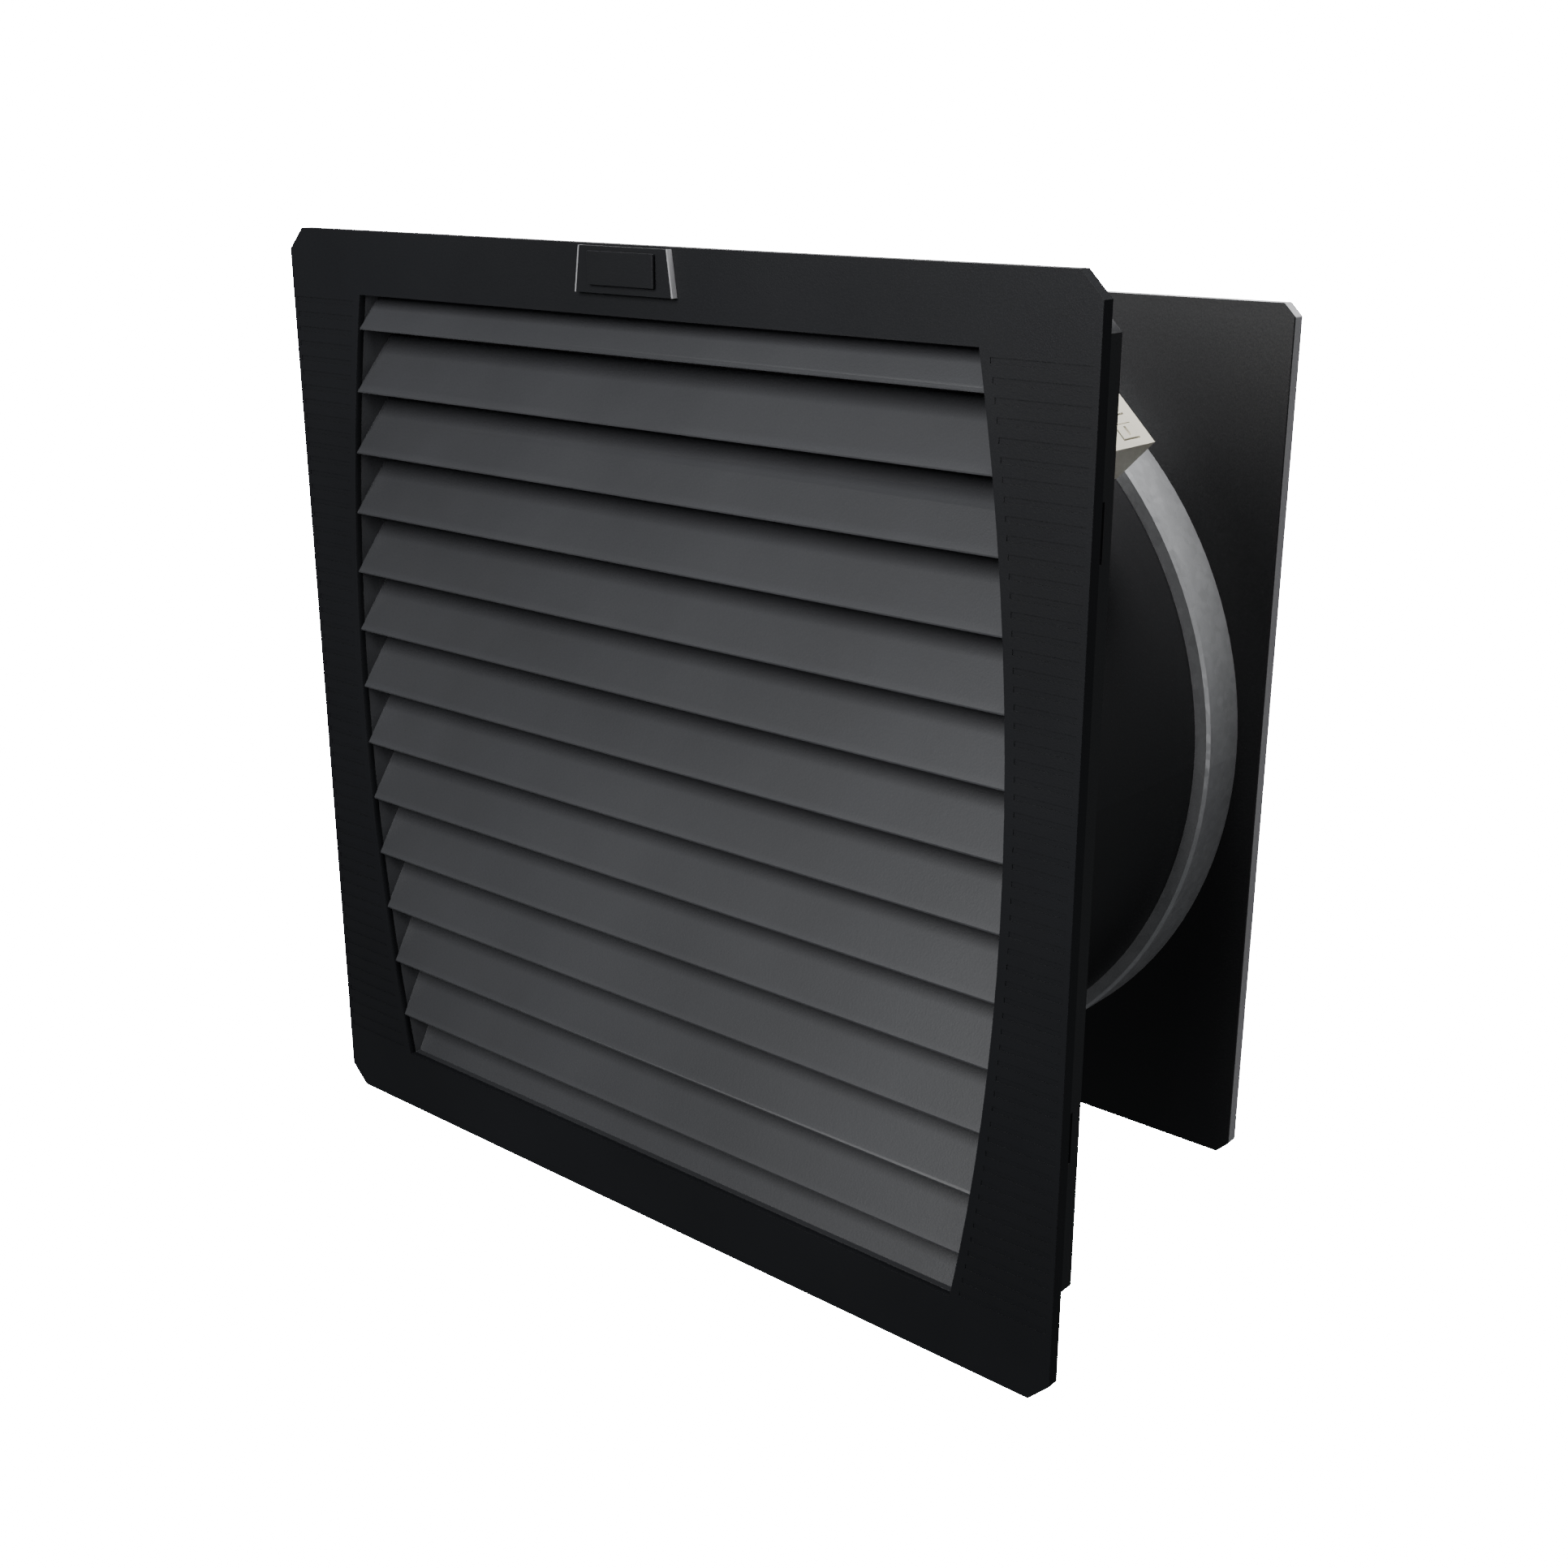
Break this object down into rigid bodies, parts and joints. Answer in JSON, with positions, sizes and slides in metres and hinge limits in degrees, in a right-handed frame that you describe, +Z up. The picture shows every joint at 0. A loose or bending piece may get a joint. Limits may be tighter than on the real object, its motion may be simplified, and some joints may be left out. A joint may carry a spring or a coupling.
{
  "type": "filter fan unit",
  "caption": "Panel-mounted square filter fan: louvred cover hinged at the bottom with a top latch, filter mat behind, round duct with axial fan, terminal block and rear wire guard.",
  "frame": {"origin": "centre of the panel cut-out, in the plane where the flange's rear face meets the panel", "axes": "+Z up, the louvred front faces -Y, the fan stands behind the panel towards +Y"},
  "size_m": [0.32, 0.1459, 0.32],
  "materials": {
    "cover_black": "fine grained black ABS",
    "louvre_black": "satin charcoal ABS",
    "frame_black": "black ABS",
    "strip_grey": "light grey ABS",
    "rim_grey": "light grey powder coat",
    "button_ivory": "ivory polyamide",
    "foam_black": "closed cell foam",
    "spring_steel": "bright drawn",
    "filter_fleece": "white progressive fleece",
    "duct_black": "black powder coat",
    "galvanised": "galvanised",
    "guard_wire": "zinc plated wire",
    "motor_cast": "die cast",
    "rotor_black": "electro coated",
    "lamination": "varnished stack",
    "copper": "enamelled copper",
    "bearing_steel": "ground",
    "blade_black": "glass filled nylon",
    "contact_brass": "tinned brass",
    "grommet_rubber": "black rubber",
    "lead_sheath": "PVC sheath",
    "screw_steel": "zinc plated"
  },
  "bodies": {
    "frame": {"mounting_frame": "frame_black", "flange_gasket": "foam_black", "snap_clip_pins": "spring_steel", "filter_mat": "filter_fleece", "filter_support_grid": "frame_black", "duct_drum": "duct_black", "drum_screws": "screw_steel", "duct_ring": "galvanised", "fan_wall_plate": "duct_black", "rear_frame": "rim_grey", "rear_guard": "guard_wire", "guard_screws": "screw_steel", "plate_rivets": "duct_black", "motor_bracket": "duct_black", "bracket_screws": "screw_steel", "motor_screws": "screw_steel", "motor_base": "motor_cast", "stator_core": "lamination", "stator_windings": "copper", "front_bearing": "bearing_steel", "rear_bearing": "bearing_steel", "terminal_body": "button_ivory", "terminal_contacts": "contact_brass", "terminal_pedestal": "duct_black", "lead_grommet": "grommet_rubber", "motor_lead": "lead_sheath"},
    "cover": {"front_cover": "cover_black", "louvre_insert": "louvre_black", "hinge_pins": "spring_steel", "latch_springs": "spring_steel", "latch_side_strips": "strip_grey"},
    "latch": {"latch_slider": "cover_black"},
    "rotor": {"rotor_cup": "rotor_black", "rotor_ring": "lamination", "motor_shaft": "bearing_steel", "impeller": "blade_black"},
    "clip_left_lower": {"snap_clip_left_lower": "frame_black"},
    "clip_left_upper": {"snap_clip_left_upper": "frame_black"},
    "clip_right_lower": {"snap_clip_right_lower": "frame_black"},
    "clip_right_upper": {"snap_clip_right_upper": "frame_black"},
    "button_left": {"release_button_left": "button_ivory"},
    "button_middle": {"release_button_middle": "button_ivory"},
    "button_right": {"release_button_right": "button_ivory"}
  },
  "joints": [
    {"name": "cover_hinge", "type": "hinge", "parent": "frame", "child": "cover", "pos_m": [0, -0.0023, -0.1587], "axis": [1, 0, 0], "range_deg": [0, 90]},
    {"name": "latch_slide", "type": "slide", "parent": "cover", "child": "latch", "axis": [0, 0, -1], "range_m": [0, 0.0022], "stiffness_N_per_m": 600, "springref_m": -0.002, "deforming": ["latch_springs"]},
    {"name": "fan_spin", "type": "hinge", "parent": "frame", "child": "rotor", "pos_m": [0, 0.09, 0], "axis": [0, 1, 0], "continuous": true},
    {"name": "clip_left_lower_hinge", "type": "hinge", "parent": "frame", "child": "clip_left_lower", "pos_m": [-0.1432, 0.0224, -0.09], "axis": [0, 0, 1], "range_deg": [0, 9], "stiffness_Nm_per_rad": 0.2, "springref_deg": -5.73},
    {"name": "clip_left_upper_hinge", "type": "hinge", "parent": "frame", "child": "clip_left_upper", "pos_m": [-0.1432, 0.0224, 0.09], "axis": [0, 0, 1], "range_deg": [0, 9], "stiffness_Nm_per_rad": 0.2, "springref_deg": -5.73},
    {"name": "clip_right_lower_hinge", "type": "hinge", "parent": "frame", "child": "clip_right_lower", "pos_m": [0.1432, 0.0224, -0.09], "axis": [0, 0, -1], "range_deg": [0, 9], "stiffness_Nm_per_rad": 0.2, "springref_deg": -5.73},
    {"name": "clip_right_upper_hinge", "type": "hinge", "parent": "frame", "child": "clip_right_upper", "pos_m": [0.1432, 0.0224, 0.09], "axis": [0, 0, -1], "range_deg": [0, 9], "stiffness_Nm_per_rad": 0.2, "springref_deg": -5.73},
    {"name": "button_left_press", "type": "slide", "parent": "frame", "child": "button_left", "axis": [-0.7071, 0, -0.7071], "range_m": [0, 0.0014], "stiffness_N_per_m": 500, "springref_m": -0.001},
    {"name": "button_middle_press", "type": "slide", "parent": "frame", "child": "button_middle", "axis": [-0.7071, 0, -0.7071], "range_m": [0, 0.0014], "stiffness_N_per_m": 500, "springref_m": -0.001},
    {"name": "button_right_press", "type": "slide", "parent": "frame", "child": "button_right", "axis": [-0.7071, 0, -0.7071], "range_m": [0, 0.0014], "stiffness_N_per_m": 500, "springref_m": -0.001}
  ]
}
